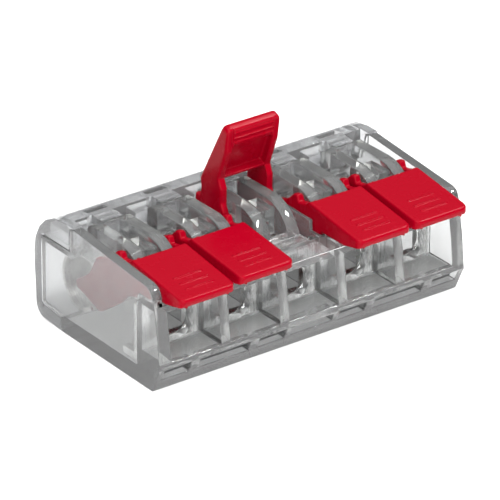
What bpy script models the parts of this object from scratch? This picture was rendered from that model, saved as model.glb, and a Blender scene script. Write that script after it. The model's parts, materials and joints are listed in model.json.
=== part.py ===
"""Five-pole lever wire connector: clear two-part case, common bar, springs and levers.

Frame: X along the row of poles, -Y is the wire side, +Z up, origin under the middle.
Everything is drawn in millimetres and turned into metres when a node is finished.
"""
import math

import bmesh
import bpy
from mathutils import Matrix, Vector

MM = 0.001

# Overall sizes.
POLES = 5
WIDTH = 30.0
PITCH = 5.715
END_WALL = 0.87
INNER = WIDTH / 2 - END_WALL

# Lever travel and the pose each lever rests in, degrees of opening.
PIVOT_Y, PIVOT_Z = 1.5, 5.05
OPENING = 69.0
REST = [0.0, 1.6, OPENING, 0.0, 0.0]

# The clamping leaf turns about the end of the spring's bow.
LEAF_Y, LEAF_Z = 5.3, 1.45
LEAF_TRAVEL = 22.8
LEAF_RATIO = LEAF_TRAVEL / OPENING

# Case. Outlines are (y, z) corners; a third number rounds the corner to that radius.
BODY = [(-6.75, 0.0), (-7.74, 2.15, 0.35), (-7.55, 5.0, 33.0), (-6.72, 8.86, 0.95), (4.35, 9.72, 0.55),
        (4.35, 7.55), (8.25, 7.55, 0.25), (8.25, 1.5, 0.4), (5.7, 1.22), (5.7, 0.0)]
COVER = [(4.42, 7.65), (4.42, 9.76, 0.6), (3.75, 9.74), (3.75, 9.8), (9.35, 9.8, 4.0),
         (9.35, 4.6, 8.0), (9.08, 0.22, 1.1), (5.78, 0.0), (5.78, 1.14), (8.33, 1.42, 0.45),
         (8.33, 7.65, 0.3)]
LINTEL_TOP = 7.35
DIVIDER_TOP = 8.3
DIVIDER = 0.3
ENTRY_HALF = 2.41
ENTRY_LOW, ENTRY_HIGH = 2.66, 6.72
ENTRY_BACK = -4.7
BLOCK_BACK = -4.25
FLOOR = 1.2
UNDERPASS = 2.05
CEILING = 6.78
WIRE_Z, WIRE_R, FUNNEL_R = 4.33, 1.42, 2.0
TEST_HALF, TEST_Y0, TEST_Y1 = 1.0, 5.5, 6.3
NOTCH_HALF, NOTCH_BACK = 0.95, 4.98
OUT_FRONT, ABOVE = -9.9, 12.0

# Hollows of the case, as (y, z) outlines.
RECESS_BACK = -3.4
TROUGH_FRONT, TROUGH_BACK = -3.5, 4.36
REAR = 8.6
HATCH_Y0, HATCH_Y1 = -3.4, 4.6
ROOM = [(BLOCK_BACK, FLOOR), (REAR, FLOOR), (REAR, CEILING), (HATCH_Y1, CEILING), (HATCH_Y1, ABOVE),
        (HATCH_Y0, ABOVE), (HATCH_Y0, CEILING), (BLOCK_BACK, CEILING)]
LEG_SLOT = [(-3.2, 6.0), (-3.2, ABOVE), (-4.72, ABOVE), (-4.72, 7.1), (-3.5, 6.1)]
COVER_HOLLOW = (5.2, 7.75, 7.5, 8.65)
HOLLOW_HALF = 2.4
COVER_LOW, BODY_SLOT = 7.5, (6.5, 7.8)

# Guide arch between the legs of each lever.
ARCH_HALF, RAIL = 1.86, 1.08
ARCH_Y, ARCH_Z, ARCH_R = 0.04, 6.2, 3.45
POST_Y0, POST_Y1, POST_TOP = -1.3, 1.0, 9.1
WINDOW_FRONT, WINDOW_REAR = -3.05, 3.65
ARCH_TAIL = [(3.82, 9.58), (4.34, 9.3), (4.34, 7.48), (4.9, 7.48), (4.9, 7.0), (4.3, CEILING)]
ARCH_FOOT = [(-3.62, CEILING), (-3.62, 7.1)]
BEARING_R, TRUNNION_R, HANGER_R = 0.80, 0.75, 1.15
HANGER_IN = 1.48

# Lever, drawn shut.
LEVER_HALF, LEG_IN = 2.6, 1.98
TIP = [(-9.2, 7.93, 0.3), (-9.42, 8.66, 0.3)]
LEG = [(4.3, 5.05, 0.15), (4.25, 4.5, 0.3), (1.0, 3.5, 0.4), (-1.7, 5.4), (-2.6, 6.42, 0.4),
       (-3.75, 6.82), (-4.4, 7.44, 0.15), (-7.2, 7.47)] + TIP + [(-2.75, 9.5, 0.3), (-2.2, 9.12, 0.3),
       (-1.35, 8.95, 0.12), (-1.12, 9.5, 0.12), (-0.62, 9.4, 0.2), (0.3, 8.55, 0.4), (1.5, 8.1, 0.3),
       (2.5, 6.3, 0.5)]
PLATE = TIP + [(-2.75, 9.5, 0.12), (-2.6, 9.05, 0.08), (-4.2, 7.54), (-4.42, 7.52),
               (-4.5, 8.15, 0.1), (-7.25, 8.02, 0.15), (-7.6, 7.6)]
TOP_Y, TOP_Z, TOP_SLOPE = -2.75, 9.5, 0.126
RIDGES = 3
RIDGE_FIRST, RIDGE_STEP = -6.5, 0.81
RIDGE_LONG, RIDGE_WIDE, RIDGE_TALL = 2.63, 0.22, 0.11
GRIP_FIRST, GRIP_STEP, GRIP_LONG, GRIP_HALF = -7.95, 0.45, 3.9, 0.12
UNDER_Y, UNDER_Z, UNDER_SLOPE = -7.2, 7.47, 0.23
TIP_Y, CORNER_R = -9.35, 0.55

# Metal.
STEEL = 0.3
BOW_R = 2.5
BOW_Y, BOW_Z = LEAF_Y, LEAF_Z + BOW_R
BOW_END = -86.0
ARM_FRONT = -3.3
SPRING_HALF = 1.35
LEAF_HALF = 1.25
LEAF_LONG = 7.75
LEAF_SLOPE = math.radians(30.4)
SHOULDER_HALF, SHOULDER_0, SHOULDER_1 = 2.5, 2.3, 3.4
BAR_Y0, BAR_Y1 = -4.15, -3.6
BAR_TOP, BAR_FOOT, FOOT_TOP, FOOT_Y1 = 6.25, 1.3, 1.9, -2.0
BAR_HALF = INNER - 0.25
FRAME_HALF, WINDOW_HALF = 2.5, 1.5
WINDOW_LOW, WINDOW_HIGH = 2.9, 5.75
TONGUE_END = -0.6

# Recesses of the sloping front band, and the window in the middle.
BAND = [(-9.0, 1.1), (-6.48, 1.1), (-6.93, 2.1), (-9.0, 2.1)]
BAND_SPANS = [(2.6, 5.29), (6.13, 11.01), (11.85, 14.45)]
SLOT = [(-9.0, 1.25), (-6.2, 1.25), (-6.5, 2.05), (-9.0, 2.05)]
SLOT_HALF = 2.05

ARC_STEP = math.radians(18)
EPS = 0.0005


def pole_x(i):
    return (i - (POLES - 1) / 2) * PITCH


def clear_scene():
    for ob in list(bpy.data.objects):
        bpy.data.objects.remove(ob, do_unlink=True)


def material(name, colour, roughness, metallic, alpha=1.0):
    mat = bpy.data.materials.new(name)
    mat.use_nodes = True
    bsdf = mat.node_tree.nodes["Principled BSDF"]
    bsdf.inputs["Base Color"].default_value = (*colour, 1.0)
    bsdf.inputs["Roughness"].default_value = roughness
    bsdf.inputs["Metallic"].default_value = metallic
    bsdf.inputs["Alpha"].default_value = alpha
    return mat


def as_object(bm, name):
    bmesh.ops.recalc_face_normals(bm, faces=bm.faces)
    mesh = bpy.data.meshes.new(name)
    bm.to_mesh(mesh)
    bm.free()
    ob = bpy.data.objects.new(name, mesh)
    bpy.context.scene.collection.objects.link(ob)
    return ob


def rounded(corners):
    """Points of an outline, with an arc at each corner that has a radius."""
    points = []
    for k, corner in enumerate(corners):
        spot = Vector(corner[:2])
        if len(corner) < 3:
            points.append(tuple(spot))
            continue
        back = (Vector(corners[k - 1][:2]) - spot).normalized()
        ahead = (Vector(corners[(k + 1) % len(corners)][:2]) - spot).normalized()
        half = back.angle(ahead) / 2
        centre = spot + (back + ahead).normalized() * corner[2] / math.sin(half)
        start = spot + back * corner[2] / math.tan(half) - centre
        end = spot + ahead * corner[2] / math.tan(half) - centre
        turn_by = math.atan2(start.x * end.y - start.y * end.x, start.dot(end))
        steps = max(2, math.ceil(abs(turn_by) / ARC_STEP))
        for n in range(steps + 1):
            points.append(tuple(centre + Matrix.Rotation(turn_by * n / steps, 2) @ start))
    return points


def arc(y, z, r, a0, a1, steps):
    """Points of an arc between two angles in degrees, measured from +Y towards +Z."""
    angles = [math.radians(a0 + (a1 - a0) * k / steps) for k in range(steps + 1)]
    return [(y + r * math.cos(a), z + r * math.sin(a)) for a in angles]


def add_prism(bm, outline, x0, x1):
    """A (y, z) outline run from x0 to x1."""
    near = [bm.verts.new((x0, y, z)) for y, z in outline]
    far = [bm.verts.new((x1, y, z)) for y, z in outline]
    bm.faces.new(near)
    bm.faces.new(list(reversed(far)))
    for i in range(len(outline)):
        j = (i + 1) % len(outline)
        bm.faces.new((near[i], far[i], far[j], near[j]))


def prisms(name, pieces):
    """Separate prisms in one object; each piece is (outline, x0, x1)."""
    bm = bmesh.new()
    for outline, x0, x1 in pieces:
        add_prism(bm, outline, x0, x1)
    return as_object(bm, name)


def rect(y0, y1, z0, z1):
    return [(y0, z0), (y1, z0), (y1, z1), (y0, z1)]


def disc(y, z, r, sides=24):
    return arc(y, z, r, 0, 360, sides)[:-1]


def tubes(name, rings, x_list):
    """Round tubes along Y; each ring is (y, z, r), one tube per x."""
    bm = bmesh.new()
    sides = 28
    for x in x_list:
        loops = []
        for y, z, r in rings:
            loop = []
            for k in range(sides):
                a = 2 * math.pi * k / sides
                loop.append(bm.verts.new((x + r * math.cos(a), y, z + r * math.sin(a))))
            loops.append(loop)
        bm.faces.new(loops[0])
        bm.faces.new(list(reversed(loops[-1])))
        for a, b in zip(loops, loops[1:]):
            for k in range(sides):
                n = (k + 1) % sides
                bm.faces.new((a[k], b[k], b[n], a[n]))
    return as_object(bm, name)


def combine(ob, tool, operation):
    """Join or cut with one tool, which is used up."""
    mod = ob.modifiers.new(operation, "BOOLEAN")
    mod.operation = operation
    mod.solver = "EXACT"
    mod.object = tool
    bpy.context.view_layer.update()
    graph = bpy.context.evaluated_depsgraph_get()
    mesh = bpy.data.meshes.new_from_object(ob.evaluated_get(graph))
    ob.modifiers.clear()
    ob.data = mesh
    bpy.data.objects.remove(tool, do_unlink=True)
    return ob


def cut(ob, tool):
    return combine(ob, tool, "DIFFERENCE")


def join(ob, tool):
    return combine(ob, tool, "UNION")


def finish(ob, mat, pivot=(0.0, 0.0, 0.0)):
    """Clean the mesh, turn it into metres and put its origin on the pivot."""
    bm = bmesh.new()
    bm.from_mesh(ob.data)
    bmesh.ops.remove_doubles(bm, verts=bm.verts, dist=EPS)
    bmesh.ops.dissolve_degenerate(bm, edges=bm.edges, dist=EPS)
    bmesh.ops.dissolve_limit(bm, angle_limit=math.radians(0.5), verts=bm.verts, edges=bm.edges)
    bmesh.ops.triangulate(bm, faces=bm.faces)
    bmesh.ops.recalc_face_normals(bm, faces=bm.faces)
    bmesh.ops.transform(bm, matrix=Matrix.Translation(-Vector(pivot)), verts=bm.verts)
    bmesh.ops.scale(bm, vec=(MM, MM, MM), verts=bm.verts)
    bm.to_mesh(ob.data)
    bm.free()
    ob.location = Vector(pivot) * MM
    ob.data.materials.clear()
    ob.data.materials.append(mat)
    return ob


def turn(ob, y, z, degrees):
    """Turn about an X axis through (y, z)."""
    spot = Vector((0.0, y, z))
    turn_x = Matrix.Rotation(math.radians(degrees), 4, "X")
    ob.data.transform(Matrix.Translation(spot) @ turn_x @ Matrix.Translation(-spot))


# ---------------------------------------------------------------- case

def cut_top(ob):
    recess = rect(OUT_FRONT, RECESS_BACK, LINTEL_TOP, ABOVE)
    cut(ob, prisms("t", [(recess, -INNER, INNER)]))
    trough = rect(TROUGH_FRONT, TROUGH_BACK, DIVIDER_TOP, ABOVE)
    cut(ob, prisms("t", [(trough, -INNER, INNER)]))


def cut_chambers(ob):
    """Room for spring and wire in each pole, and the slots that the lever's legs run in."""
    half = (PITCH - DIVIDER) / 2
    for i in range(POLES):
        x = pole_x(i)
        cut(ob, prisms("t", [(ROOM, x - half, x + half)]))
        sides = [(LEG_SLOT, x - half, x - ARCH_HALF), (LEG_SLOT, x + ARCH_HALF, x + half)]
        cut(ob, prisms("t", sides))


def cut_entries(ob):
    mouth = rect(OUT_FRONT, ENTRY_BACK, ENTRY_LOW, ENTRY_HIGH)
    xs = [pole_x(i) for i in range(POLES)]
    cut(ob, prisms("t", [(mouth, x - ENTRY_HALF, x + ENTRY_HALF) for x in xs]))
    rings = [(ENTRY_BACK - 0.1, WIRE_Z, FUNNEL_R), (ENTRY_BACK, WIRE_Z, FUNNEL_R - 0.1),
             (ENTRY_BACK + 0.28, WIRE_Z, WIRE_R), (BLOCK_BACK + 0.2, WIRE_Z, WIRE_R)]
    cut(ob, tubes("t", rings, xs))


def cut_band(ob):
    spans = [(BAND, a, b) for a, b in BAND_SPANS] + [(BAND, -b, -a) for a, b in BAND_SPANS]
    cut(ob, prisms("t", spans + [(SLOT, -SLOT_HALF, SLOT_HALF)]))


def arch_outline():
    return ARCH_FOOT + arc(ARCH_Y, ARCH_Z, ARCH_R, 163, 88, 8) + ARCH_TAIL


def hangers(x):
    """Two plates under the arch that carry the lever's pins."""
    outline = arc(PIVOT_Y, PIVOT_Z, HANGER_R, -180, 0, 12)
    outline += [(PIVOT_Y + HANGER_R, CEILING + 0.4), (PIVOT_Y - HANGER_R, CEILING + 0.4)]
    spans = [(x - ARCH_HALF, x - HANGER_IN), (x + HANGER_IN, x + ARCH_HALF)]
    ears = prisms("h", [(outline, a, b) for a, b in spans])
    bore = disc(PIVOT_Y, PIVOT_Z, BEARING_R)
    return cut(ears, prisms("t", [(bore, x - LEG_IN, x + LEG_IN)]))


def add_arches(ob):
    inner = ARCH_HALF - RAIL
    holes = [rect(WINDOW_FRONT, POST_Y0, FLOOR, ABOVE), rect(POST_Y1, WINDOW_REAR, FLOOR, ABOVE),
             rect(POST_Y0 - 0.1, POST_Y1 + 0.1, POST_TOP, ABOVE)]
    for i in range(POLES):
        x = pole_x(i)
        arch = prisms("a", [(arch_outline(), x - ARCH_HALF, x + ARCH_HALF)])
        for hole in holes:
            cut(arch, prisms("t", [(hole, x - inner, x + inner)]))
        join(arch, hangers(x))
        join(ob, arch)


def cut_test_slots(ob, z0, z1):
    slot = rect(TEST_Y0, TEST_Y1, z0, z1)
    xs = [pole_x(i) for i in range(POLES)]
    cut(ob, prisms("t", [(slot, x - TEST_HALF, x + TEST_HALF) for x in xs]))


def housing_body(mat):
    ob = prisms("housing_body", [(rounded(BODY), -WIDTH / 2, WIDTH / 2)])
    cut_top(ob)
    cut_chambers(ob)
    cut_entries(ob)
    cut_band(ob)
    under = rect(BLOCK_BACK, REAR, FLOOR, UNDERPASS)
    cut(ob, prisms("t", [(under, -INNER + 0.1, INNER - 0.1)]))
    add_arches(ob)
    cut_test_slots(ob, *BODY_SLOT)
    return finish(ob, mat)


def rear_cover(mat):
    ob = prisms("rear_cover", [(rounded(COVER), -WIDTH / 2, WIDTH / 2)])
    xs = [pole_x(i) for i in range(POLES)]
    hollow = rect(*COVER_HOLLOW)
    cut(ob, prisms("t", [(hollow, x - HOLLOW_HALF, x + HOLLOW_HALF) for x in xs]))
    cut_test_slots(ob, COVER_LOW, ABOVE)
    edges = [-INNER - NOTCH_HALF] + xs + [INNER + NOTCH_HALF]
    notch = rect(TROUGH_BACK - 1.0, NOTCH_BACK, COVER_LOW, ABOVE)
    spans = [(notch, a + NOTCH_HALF, b - NOTCH_HALF) for a, b in zip(edges, edges[1:])]
    cut(ob, prisms("t", spans))
    return finish(ob, mat)


# ---------------------------------------------------------------- levers

def lever_blank(x):
    """Two legs, the thumb plate between them and the short pins that face inwards."""
    leg = rounded(LEG)
    ob = prisms("lever", [(leg, x - LEVER_HALF, x - LEG_IN), (leg, x + LEG_IN, x + LEVER_HALF)])
    join(ob, prisms("t", [(rounded(PLATE), x - LEG_IN - 0.2, x + LEG_IN + 0.2)]))
    pin = disc(PIVOT_Y, PIVOT_Z, TRUNNION_R)
    tip, root = HANGER_IN + 0.04, LEG_IN + 0.3
    return join(ob, prisms("t", [(pin, x - root, x - tip), (pin, x + tip, x + root)]))


def corner_block(x, side):
    """Block that leaves a round corner, seen from above, at the tip of the plate."""
    edge = x + side * LEVER_HALF
    plan = [(edge + side, OUT_FRONT), (edge + side, TIP_Y + CORNER_R)]
    for k in range(5):
        a = math.radians(22.5 * k)
        plan.append((edge - side * CORNER_R * (1 - math.cos(a)), TIP_Y + CORNER_R * (1 - math.sin(a))))
    plan.append((edge - side * CORNER_R, OUT_FRONT))
    bm = bmesh.new()
    low = [bm.verts.new((px, py, LINTEL_TOP - 1.0)) for px, py in plan]
    high = [bm.verts.new((px, py, ABOVE)) for px, py in plan]
    bm.faces.new(low)
    bm.faces.new(list(reversed(high)))
    for i in range(len(plan)):
        j = (i + 1) % len(plan)
        bm.faces.new((low[i], high[i], high[j], low[j]))
    return as_object(bm, "t")


def add_ridges(ob, x):
    """Fine beads on top of the plate, and grip ribs under its tip."""
    w = RIDGE_WIDE / 2
    for k in range(RIDGES):
        y = RIDGE_FIRST - k * RIDGE_STEP
        z = TOP_Z + (y - TOP_Y) * TOP_SLOPE
        bead = [(y - w, z - 0.15), (y + w, z - 0.15), (y + w / 2, z + RIDGE_TALL),
                (y - w / 2, z + RIDGE_TALL)]
        join(ob, prisms("t", [(bead, x - RIDGE_LONG / 2, x + RIDGE_LONG / 2)]))
        y = GRIP_FIRST - k * GRIP_STEP
        z = UNDER_Z - (y - UNDER_Y) * UNDER_SLOPE
        rib = [(y - GRIP_HALF, z + 0.25), (y, z - 0.1), (y + GRIP_HALF, z + 0.25)]
        join(ob, prisms("t", [(rib, x - GRIP_LONG / 2, x + GRIP_LONG / 2)]))


def lever(i, mat):
    x = pole_x(i)
    ob = lever_blank(x)
    for side in (-1, 1):
        cut(ob, corner_block(x, side))
    add_ridges(ob, x)
    turn(ob, PIVOT_Y, PIVOT_Z, -REST[i])
    ob.name = f"lever_{i + 1}"
    return finish(ob, mat, (x, PIVOT_Y, PIVOT_Z))


# ---------------------------------------------------------------- metal

def ribbon(points, thick):
    """Outline of a strip of even thickness along a run of (y, z) points."""
    left, right = [], []
    for k, p in enumerate(points):
        a = Vector(points[max(k - 1, 0)])
        b = Vector(points[min(k + 1, len(points) - 1)])
        d = (b - a).normalized()
        n = Vector((-d.y, d.x)) * thick / 2
        left.append(tuple(Vector(p) + n))
        right.append(tuple(Vector(p) - n))
    return left + right[::-1]


def spring(i, mat):
    """Fixed arm on the bar's tongue and the bow behind it."""
    x = pole_x(i)
    arm = BOW_Z + BOW_R
    run = [(ARM_FRONT, arm), (0.0, arm)] + arc(BOW_Y, BOW_Z, BOW_R, 90, BOW_END, 12)
    ob = prisms(f"spring_{i + 1}", [(ribbon(run, STEEL), x - SPRING_HALF, x + SPRING_HALF)])
    return finish(ob, mat)


def leaf_point(along, lift):
    """Point on the shut leaf, given along it from its root and above its middle."""
    c, s = math.cos(LEAF_SLOPE), math.sin(LEAF_SLOPE)
    return LEAF_Y - along * c + lift * s, LEAF_Z + along * s + lift * c


def clamp_leg(i, mat):
    """Spring leaf that presses the wire up against the tongue."""
    x = pole_x(i)
    h = STEEL / 2
    blade = [(0.0, -h), (0.0, h), (LEAF_LONG - 0.1, h), (LEAF_LONG, h - 0.1), (LEAF_LONG - 0.2, -h)]
    ears = [(SHOULDER_0, -h), (SHOULDER_0, h), (SHOULDER_1, h), (SHOULDER_1, -h)]
    ob = prisms(f"clamp_leg_{i + 1}", [([leaf_point(*p) for p in blade], x - LEAF_HALF, x + LEAF_HALF)])
    join(ob, prisms("t", [([leaf_point(*p) for p in ears], x - SHOULDER_HALF, x + SHOULDER_HALF)]))
    turn(ob, LEAF_Y, LEAF_Z, REST[i] * LEAF_RATIO)
    return finish(ob, mat, (x, LEAF_Y, LEAF_Z))


def busbar(mat):
    """Common bar: a foot strip, a window frame per pole and a tongue behind each window."""
    xs = [pole_x(i) for i in range(POLES)]
    ob = prisms("busbar", [(rect(BAR_Y0, FOOT_Y1, BAR_FOOT, FOOT_TOP), -BAR_HALF, BAR_HALF)])
    frame = rect(BAR_Y0, BAR_Y1, BAR_FOOT + 0.2, BAR_TOP)
    join(ob, prisms("t", [(frame, x - FRAME_HALF, x + FRAME_HALF) for x in xs]))
    hole = rect(BAR_Y0 - 0.5, BAR_Y1 + 0.5, WINDOW_LOW, WINDOW_HIGH)
    cut(ob, prisms("t", [(hole, x - WINDOW_HALF, x + WINDOW_HALF) for x in xs]))
    root = BAR_Y1 - 0.3
    tongue = rounded([(root, WINDOW_HIGH), (TONGUE_END, WINDOW_HIGH), (TONGUE_END, BAR_TOP, 0.2),
                      (root, BAR_TOP)])
    join(ob, prisms("t", [(tongue, x - SPRING_HALF, x + SPRING_HALF) for x in xs]))
    return finish(ob, mat)


def main():
    clear_scene()
    clear_shell = material("clear_shell", (0.42, 0.44, 0.45), 0.08, 0.0, 0.45)
    clear_cover = material("clear_cover", (0.50, 0.51, 0.52), 0.1, 0.0, 0.5)
    red = material("lever_red", (0.62, 0.0, 0.02), 0.25, 0.0)
    steel = material("spring_steel", (0.62, 0.60, 0.57), 0.3, 1.0)
    leaf_steel = material("leaf_steel", (0.66, 0.64, 0.6), 0.3, 1.0)
    tinned = material("tinned_bar", (0.80, 0.80, 0.79), 0.25, 1.0)
    housing_body(clear_shell)
    rear_cover(clear_cover)
    busbar(tinned)
    for i in range(POLES):
        lever(i, red)
        spring(i, steel)
        clamp_leg(i, leaf_steel)


main()
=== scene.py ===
"""Clear lever wire connector: five poles, red levers, one of them open."""

import json
import math

import bmesh
import bpy
from mathutils import Matrix, Vector

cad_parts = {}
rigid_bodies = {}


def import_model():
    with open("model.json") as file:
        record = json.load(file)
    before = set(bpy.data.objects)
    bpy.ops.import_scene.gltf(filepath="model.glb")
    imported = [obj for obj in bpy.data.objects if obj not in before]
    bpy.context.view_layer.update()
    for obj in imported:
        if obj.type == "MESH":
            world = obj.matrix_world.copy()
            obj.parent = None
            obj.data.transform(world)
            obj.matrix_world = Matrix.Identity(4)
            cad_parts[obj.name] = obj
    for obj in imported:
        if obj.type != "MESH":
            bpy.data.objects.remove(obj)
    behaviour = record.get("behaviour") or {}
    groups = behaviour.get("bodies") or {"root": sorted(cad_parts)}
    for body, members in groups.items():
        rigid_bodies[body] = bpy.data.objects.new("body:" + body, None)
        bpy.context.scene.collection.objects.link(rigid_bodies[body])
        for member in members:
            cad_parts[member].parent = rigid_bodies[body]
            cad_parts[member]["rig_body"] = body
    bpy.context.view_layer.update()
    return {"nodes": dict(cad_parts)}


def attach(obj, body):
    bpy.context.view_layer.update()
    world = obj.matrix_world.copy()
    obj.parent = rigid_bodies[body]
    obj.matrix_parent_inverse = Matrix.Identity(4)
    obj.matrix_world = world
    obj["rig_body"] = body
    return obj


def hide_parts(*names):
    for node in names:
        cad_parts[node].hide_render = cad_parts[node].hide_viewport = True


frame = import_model()

MM = 0.001
POLES = 5

# Camera: angles in degrees, lengths in millimetres.
CAMERA_AZIMUTH = -36.473
CAMERA_ELEVATION = 27.099
CAMERA_ROLL = 0.287
CAMERA_TARGET = Vector((0.0, 1.1, 4.5))
CAMERA_SHIFT_RIGHT = 0.144
CAMERA_SHIFT_UP = 0.094
CAMERA_DISTANCE = 427.43
CAMERA_LENS = 386.2
SENSOR_WIDTH = 36.0

# Area lights, aimed at the part: name, spot and size in metres, power in watts.
LIGHTS = [
    ("key", (-0.18, -0.12, 0.30), 0.20, 0.9),
    ("sparkle", (0.185, -0.12, 0.27), 0.06, 0.8),
    ("front", (-0.20, -0.40, 0.18), 0.15, 1.6),
]

# Sky: darker below the first height, white above the second, as heights on a unit sphere.
SKY_HEIGHTS = (0.5, 0.85)
SKY_STRENGTHS = (0.06, 1.5)

# Floor: a pale light table, set a hair below the part.
FLOOR_HALF = 2.0
FLOOR_DROP = 0.05 * MM
FLOOR_TONE = (0.75, 0.75, 0.75, 1.0)
FLOOR_GLOW = 0.30

# Light passes through up to four clear walls and back, so paths may be long.
CLEAR_BOUNCES = 24

# Plastics and metals.
PLASTIC_IOR = 1.5
SMOKE_COLOUR = (0.10, 0.13, 0.10, 1.0)
DUSTY = (0.9, 0.9, 0.9, 1.0)
RED = (0.26, 0.0003, 0.008, 1.0)
RED_SCUFFED = (0.66, 0.03, 0.05, 1.0)

# Edge rounding: angles in degrees, widths in millimetres.
SHARP_ANGLE = 25.0      # an edge that turns by more than this is rounded
FLAT_ANGLE = 1.0        # faces that turn by less than this are merged
SHADING_ANGLE = 30.0    # an edge that still turns by more than this is shaded sharp
STRAIGHT_ON = 145.0     # a chain of edges that opens wider than this runs on
ROOM_FACTOR = 2.5       # shortest edge with room for a rounding, in rounding widths
HOUSING_EDGE = 0.07
COVER_EDGE = 0.08
LEVER_EDGE = 0.17
STRIP_EDGE = 0.04


# ------------------------------------------------------------ node helpers

def new_group(name, inputs, outputs):
    """Empty shader node group with named sockets; returns the tree and its two ends."""
    tree = bpy.data.node_groups.new(name, "ShaderNodeTree")
    for label, kind, value in inputs:
        socket = tree.interface.new_socket(label, in_out="INPUT", socket_type=kind)
        if value is not None:
            socket.default_value = value
    for label, kind in outputs:
        tree.interface.new_socket(label, in_out="OUTPUT", socket_type=kind)
    return tree, tree.nodes.new("NodeGroupInput"), tree.nodes.new("NodeGroupOutput")


def add(tree, kind, **settings):
    node = tree.nodes.new(kind)
    for key, value in settings.items():
        setattr(node, key, value)
    return node


def noise(tree, vector, scale, detail=3.0, roughness=0.5):
    node = add(tree, "ShaderNodeTexNoise")
    node.inputs["Scale"].default_value = scale
    node.inputs["Detail"].default_value = detail
    node.inputs["Roughness"].default_value = roughness
    tree.links.new(vector, node.inputs["Vector"])
    return node.outputs["Fac"]


def stretched(tree, vector, scale):
    node = add(tree, "ShaderNodeMapping")
    node.inputs["Scale"].default_value = scale
    tree.links.new(vector, node.inputs["Vector"])
    return node.outputs["Vector"]


def spread(tree, value, low, high, to_low=0.0, to_high=1.0):
    node = add(tree, "ShaderNodeMapRange")
    node.inputs["From Min"].default_value = low
    node.inputs["From Max"].default_value = high
    node.inputs["To Min"].default_value = to_low
    node.inputs["To Max"].default_value = to_high
    tree.links.new(value, node.inputs["Value"])
    return node.outputs["Result"]


def calc(tree, operation, a, b):
    node = add(tree, "ShaderNodeMath", operation=operation)
    for socket, value in zip(node.inputs, (a, b)):
        if isinstance(value, (int, float)):
            socket.default_value = value
        else:
            tree.links.new(value, socket)
    return node.outputs["Value"]


# ------------------------------------------------------------ shared effects

def moulded_surface():
    """Faint waviness and fine grain of injection moulded plastic."""
    tree, start, end = new_group("moulded_surface", [
        ("Vector", "NodeSocketVector", None),
        ("Roughness", "NodeSocketFloat", 0.2),
        ("Spread", "NodeSocketFloat", 0.05),
    ], [("Height", "NodeSocketFloat"), ("Roughness", "NodeSocketFloat")])
    place = start.outputs["Vector"]
    waves = noise(tree, place, 350.0, 2.0)
    grain = noise(tree, place, 9000.0, 3.0, 0.6)
    fine = calc(tree, "MULTIPLY", grain, 0.25)
    tree.links.new(calc(tree, "ADD", waves, fine), end.inputs["Height"])
    patches = spread(tree, noise(tree, place, 700.0, 4.0), 0.35, 0.65, -1.0, 1.0)
    change = calc(tree, "MULTIPLY", patches, start.outputs["Spread"])
    tree.links.new(calc(tree, "ADD", start.outputs["Roughness"], change), end.inputs["Roughness"])
    return tree


def handling_marks():
    """Thin scuffs from handling, as a mask."""
    tree, start, end = new_group("handling_marks", [
        ("Vector", "NodeSocketVector", None),
        ("Amount", "NodeSocketFloat", 0.5),
    ], [("Mask", "NodeSocketFloat")])
    place = start.outputs["Vector"]
    long_marks = noise(tree, stretched(tree, place, (0.25, 3.0, 3.0)), 1500.0, 4.0, 0.7)
    cross_marks = noise(tree, stretched(tree, place, (3.0, 0.3, 1.0)), 1300.0, 4.0, 0.7)
    both = calc(tree, "MAXIMUM", long_marks, cross_marks)
    thin = spread(tree, both, 0.68, 0.78)
    tree.links.new(calc(tree, "MULTIPLY", thin, start.outputs["Amount"]), end.inputs["Mask"])
    return tree


def rolled_metal():
    """Lengthwise streaks of rolled strip, with a cloudy plated tone."""
    tree, start, end = new_group("rolled_metal", [
        ("Vector", "NodeSocketVector", None),
        ("Roughness", "NodeSocketFloat", 0.3),
    ], [
        ("Height", "NodeSocketFloat"),
        ("Roughness", "NodeSocketFloat"),
        ("Cloud", "NodeSocketFloat"),
    ])
    streaks = noise(tree, stretched(tree, start.outputs["Vector"], (12.0, 0.6, 0.6)), 900.0, 3.0)
    cloud = noise(tree, start.outputs["Vector"], 1400.0, 4.0, 0.65)
    tree.links.new(streaks, end.inputs["Height"])
    tree.links.new(spread(tree, cloud, 0.3, 0.7), end.inputs["Cloud"])
    change = spread(tree, streaks, 0.3, 0.7, -0.08, 0.12)
    tree.links.new(calc(tree, "ADD", start.outputs["Roughness"], change), end.inputs["Roughness"])
    return tree


# ------------------------------------------------------------ materials

def principled(name):
    mat = bpy.data.materials.new(name)
    mat.use_nodes = True
    return mat, mat.node_tree, mat.node_tree.nodes["Principled BSDF"]


def use_group(tree, group, **values):
    """Group node fed with object coordinates."""
    node = add(tree, "ShaderNodeGroup", node_tree=group)
    place = add(tree, "ShaderNodeTexCoord")
    tree.links.new(place.outputs["Object"], node.inputs["Vector"])
    for key, value in values.items():
        node.inputs[key].default_value = value
    return node


def bump(tree, bsdf, height, strength, distance):
    node = add(tree, "ShaderNodeBump")
    node.inputs["Strength"].default_value = strength
    node.inputs["Distance"].default_value = distance
    tree.links.new(height, node.inputs["Height"])
    tree.links.new(node.outputs["Normal"], bsdf.inputs["Normal"])


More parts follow.
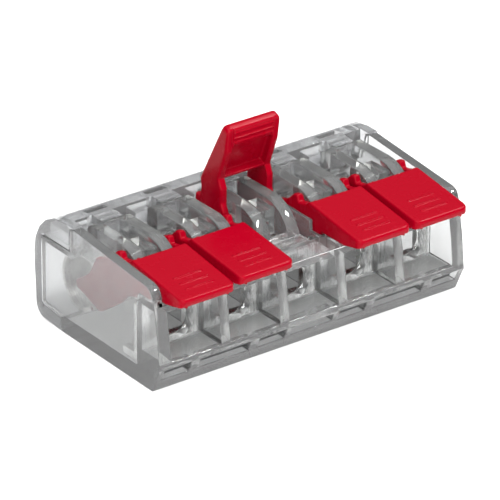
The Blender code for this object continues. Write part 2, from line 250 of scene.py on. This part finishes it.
def clear_plastic(name, groups, tint, roughness, haze, smoke):
    """Clear plastic. Haze is the share of light that it scatters, smoke darkens it with depth."""
    mat, tree, bsdf = principled(name)
    bsdf.inputs["IOR"].default_value = PLASTIC_IOR
    bsdf.inputs["Transmission Weight"].default_value = 1.0 - haze
    skin = use_group(tree, groups["moulded_surface"], Roughness=roughness, Spread=0.03)
    marks = use_group(tree, groups["handling_marks"], Amount=0.35)
    colour = add(tree, "ShaderNodeMix", data_type="RGBA")
    colour.inputs["A"].default_value = (*tint, 1.0)
    colour.inputs["B"].default_value = DUSTY
    tree.links.new(marks.outputs["Mask"], colour.inputs["Factor"])
    tree.links.new(colour.outputs["Result"], bsdf.inputs["Base Color"])
    scuffed = calc(tree, "MULTIPLY", marks.outputs["Mask"], 0.3)
    rough = calc(tree, "ADD", skin.outputs["Roughness"], scuffed)
    tree.links.new(rough, bsdf.inputs["Roughness"])
    bump(tree, bsdf, skin.outputs["Height"], 0.25, 0.00003)
    depth = add(tree, "ShaderNodeVolumeAbsorption")
    depth.inputs["Color"].default_value = SMOKE_COLOUR
    depth.inputs["Density"].default_value = smoke
    tree.links.new(depth.outputs["Volume"], tree.nodes["Material Output"].inputs["Volume"])
    return mat


def red_plastic(name, groups):
    """Solid red plastic with a faint gloss."""
    mat, tree, bsdf = principled(name)
    bsdf.inputs["IOR"].default_value = 1.46
    bsdf.inputs["Specular IOR Level"].default_value = 0.07
    skin = use_group(tree, groups["moulded_surface"], Roughness=0.26, Spread=0.05)
    marks = use_group(tree, groups["handling_marks"], Amount=0.25)
    colour = add(tree, "ShaderNodeMix", data_type="RGBA")
    colour.inputs["A"].default_value = RED
    colour.inputs["B"].default_value = RED_SCUFFED
    tree.links.new(marks.outputs["Mask"], colour.inputs["Factor"])
    tree.links.new(colour.outputs["Result"], bsdf.inputs["Base Color"])
    tree.links.new(skin.outputs["Roughness"], bsdf.inputs["Roughness"])
    bump(tree, bsdf, skin.outputs["Height"], 0.2, 0.00003)
    return mat


def metal(name, groups, dark, light, roughness):
    """Bare or plated strip whose tone wanders between dark and light."""
    mat, tree, bsdf = principled(name)
    bsdf.inputs["Metallic"].default_value = 1.0
    strip = use_group(tree, groups["rolled_metal"], Roughness=roughness)
    colour = add(tree, "ShaderNodeMix", data_type="RGBA")
    colour.inputs["A"].default_value = (*dark, 1.0)
    colour.inputs["B"].default_value = (*light, 1.0)
    tree.links.new(strip.outputs["Cloud"], colour.inputs["Factor"])
    tree.links.new(colour.outputs["Result"], bsdf.inputs["Base Color"])
    tree.links.new(strip.outputs["Roughness"], bsdf.inputs["Roughness"])
    bump(tree, bsdf, strip.outputs["Height"], 0.3, 0.00002)
    return mat


def make_materials():
    """All looks, by the short name that main() uses."""
    groups = {f.__name__: f() for f in (moulded_surface, handling_marks, rolled_metal)}
    return {
        "shell": clear_plastic(
            "smoke_shell", groups, (0.86, 0.865, 0.87), roughness=0.03, haze=0.08, smoke=170.0),
        "cover": clear_plastic(
            "frosted_cover", groups, (0.84, 0.845, 0.86), roughness=0.08, haze=0.15, smoke=170.0),
        "red": red_plastic("gloss_red", groups),
        "spring": metal("bright_spring", groups, (0.50, 0.49, 0.47), (0.68, 0.67, 0.64), 0.28),
        "leaf": metal("bright_leaf", groups, (0.52, 0.50, 0.48), (0.70, 0.68, 0.66), 0.3),
        "tin": metal("plated_tin", groups, (0.70, 0.70, 0.69), (0.90, 0.90, 0.89), 0.26),
    }


# ------------------------------------------------------------ pieces

def worked_copy(node, mat, modifiers, prepare):
    """Copy of a CAD piece, worked in millimetres and riding in the piece's place."""
    source = frame["nodes"][node]
    mesh = source.data.copy()
    bm = bmesh.new()
    bm.from_mesh(mesh)
    bmesh.ops.scale(bm, vec=(1 / MM, 1 / MM, 1 / MM), verts=bm.verts)
    bmesh.ops.remove_doubles(bm, verts=bm.verts, dist=0.001)
    prepare(bm)
    bm.to_mesh(mesh)
    bm.free()
    piece = bpy.data.objects.new(node + "_finished", mesh)
    bpy.context.scene.collection.objects.link(piece)
    for kind, settings in modifiers:
        step = piece.modifiers.new(kind.lower(), kind)
        for key, value in settings.items():
            setattr(step, key, value)
    bpy.context.view_layer.update()
    graph = bpy.context.evaluated_depsgraph_get()
    done = bpy.data.meshes.new_from_object(piece.evaluated_get(graph))
    done.transform(Matrix.Scale(MM, 4))
    piece.modifiers.clear()
    piece.data = done
    done.materials.clear()
    done.materials.append(mat)
    done.shade_smooth()
    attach(piece, source["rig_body"])
    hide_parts(node)
    return piece


def roomy_end(edge, vert, sharp, width):
    """True where a rounding can run on, into one gentle turn or into long edges only."""
    others = [e for e in vert.link_edges if e in sharp and e is not edge]
    if len(others) == 1:
        here = edge.other_vert(vert).co - vert.co
        there = others[0].other_vert(vert).co - vert.co
        if here.angle(there) > math.radians(STRAIGHT_ON):
            return True
    return min(e.calc_length() for e in [edge, *others]) > ROOM_FACTOR * width


def mark_clean_edges(width, merge_flats=False):
    """Weights the sharp edges that have room for rounding; crowded corners are left as they are."""
    def prepare(bm):
        if merge_flats:
            flat = math.radians(FLAT_ANGLE)
            bmesh.ops.dissolve_limit(bm, angle_limit=flat, verts=bm.verts, edges=bm.edges)
        weight = bm.edges.layers.float.new("bevel_weight_edge")
        limit = math.radians(SHARP_ANGLE)
        sharp = {e for e in bm.edges if len(e.link_faces) == 2 and e.calc_face_angle(0.0) > limit}
        for edge in sharp:
            edge[weight] = float(all(roomy_end(edge, v, sharp, width) for v in edge.verts))
    return prepare


def rounding(width, segments):
    """Bevel along the weighted edges, as worked_copy takes it."""
    return "BEVEL", {
        "width": width,
        "segments": segments,
        "limit_method": "WEIGHT",
        "use_clamp_overlap": False,
    }


def bevelled(node, mat, width):
    """Piece with its clean long edges rounded."""
    piece = worked_copy(node, mat, [rounding(width, 2)], mark_clean_edges(width))
    piece.data.set_sharp_from_angle(angle=math.radians(SHADING_ANGLE))
    settle = piece.modifiers.new("flat_face_shading", "WEIGHTED_NORMAL")
    settle.keep_sharp = True
    settle.weight = 100
    return piece


def moulded(node, mat, width, voxel, passes, share):
    """Piece with its long edges rounded and the rest softened as if it came from a mould."""
    return worked_copy(node, mat, [
        rounding(width, 3),
        ("REMESH", {"mode": "VOXEL", "voxel_size": voxel}),
        ("SMOOTH", {"factor": 0.5, "iterations": passes}),
        ("DECIMATE", {"ratio": share}),
    ], mark_clean_edges(width, merge_flats=True))


# ------------------------------------------------------------ camera and studio

def set_camera():
    az = math.radians(CAMERA_AZIMUTH)
    el = math.radians(CAMERA_ELEVATION)
    roll = math.radians(CAMERA_ROLL)
    back = Vector((math.sin(az) * math.cos(el), -math.cos(az) * math.cos(el), math.sin(el)))
    right = Vector((math.cos(az), math.sin(az), 0.0))
    up = back.cross(right)
    target = CAMERA_TARGET + right * CAMERA_SHIFT_RIGHT + up * CAMERA_SHIFT_UP
    spot = (target + back * CAMERA_DISTANCE) * MM
    side = right * math.cos(roll) + up * math.sin(roll)
    top = up * math.cos(roll) - right * math.sin(roll)
    cam = bpy.data.cameras.new("camera")
    cam.sensor_width = SENSOR_WIDTH
    cam.lens = CAMERA_LENS
    cam.clip_start = 0.01
    ob = bpy.data.objects.new("camera", cam)
    ob.matrix_world = Matrix.Translation(spot) @ Matrix((side, top, back)).transposed().to_4x4()
    bpy.context.scene.collection.objects.link(ob)
    bpy.context.scene.camera = ob


def soft_light(name, spot, size, power):
    """Square area light aimed at the origin."""
    data = bpy.data.lights.new(name, "AREA")
    data.size = size
    data.energy = power
    ob = bpy.data.objects.new(name, data)
    ob.location = spot
    ob.rotation_euler = Vector(spot).to_track_quat("Z", "Y").to_euler()
    bpy.context.scene.collection.objects.link(ob)


def studio_sky():
    """White overhead, darker towards the horizon."""
    world = bpy.data.worlds.new("studio")
    world.use_nodes = True
    tree = world.node_tree
    sky = tree.nodes["Background"]
    sky.inputs["Color"].default_value = (1.0, 1.0, 1.0, 1.0)
    place = add(tree, "ShaderNodeTexCoord")
    split = add(tree, "ShaderNodeSeparateXYZ")
    tree.links.new(place.outputs["Generated"], split.inputs["Vector"])
    strength = spread(tree, split.outputs["Z"], *SKY_HEIGHTS, *SKY_STRENGTHS)
    tree.links.new(strength, sky.inputs["Strength"])
    bpy.context.scene.world = world


def light_table():
    """Pale floor that glows a little, so that the clear case stays light where it stands."""
    bm = bmesh.new()
    bmesh.ops.create_grid(bm, x_segments=1, y_segments=1, size=FLOOR_HALF)
    mesh = bpy.data.meshes.new("floor")
    bm.to_mesh(mesh)
    bm.free()
    floor = bpy.data.objects.new("floor", mesh)
    floor.location.z = -FLOOR_DROP
    bpy.context.scene.collection.objects.link(floor)
    mat, _, bsdf = principled("light_table")
    bsdf.inputs["Base Color"].default_value = FLOOR_TONE
    bsdf.inputs["Roughness"].default_value = 0.9
    bsdf.inputs["Emission Color"].default_value = (1.0, 1.0, 1.0, 1.0)
    bsdf.inputs["Emission Strength"].default_value = FLOOR_GLOW
    mesh.materials.append(mat)


def studio():
    scene = bpy.context.scene
    scene.view_settings.view_transform = "Standard"
    scene.cycles.max_bounces = CLEAR_BOUNCES
    scene.cycles.transmission_bounces = CLEAR_BOUNCES
    studio_sky()
    for name, spot, size, power in LIGHTS:
        soft_light(name, spot, size, power)
    light_table()


def main():
    look = make_materials()
    bevelled("housing_body", look["shell"], HOUSING_EDGE)
    bevelled("rear_cover", look["cover"], COVER_EDGE)
    frame["nodes"]["busbar"].material_slots[0].material = look["tin"]
    for n in range(1, POLES + 1):
        moulded(f"lever_{n}", look["red"], LEVER_EDGE, voxel=0.04, passes=3, share=0.2)
        bevelled(f"spring_{n}", look["spring"], STRIP_EDGE)
        bevelled(f"clamp_leg_{n}", look["leaf"], STRIP_EDGE)
    set_camera()
    studio()


main()
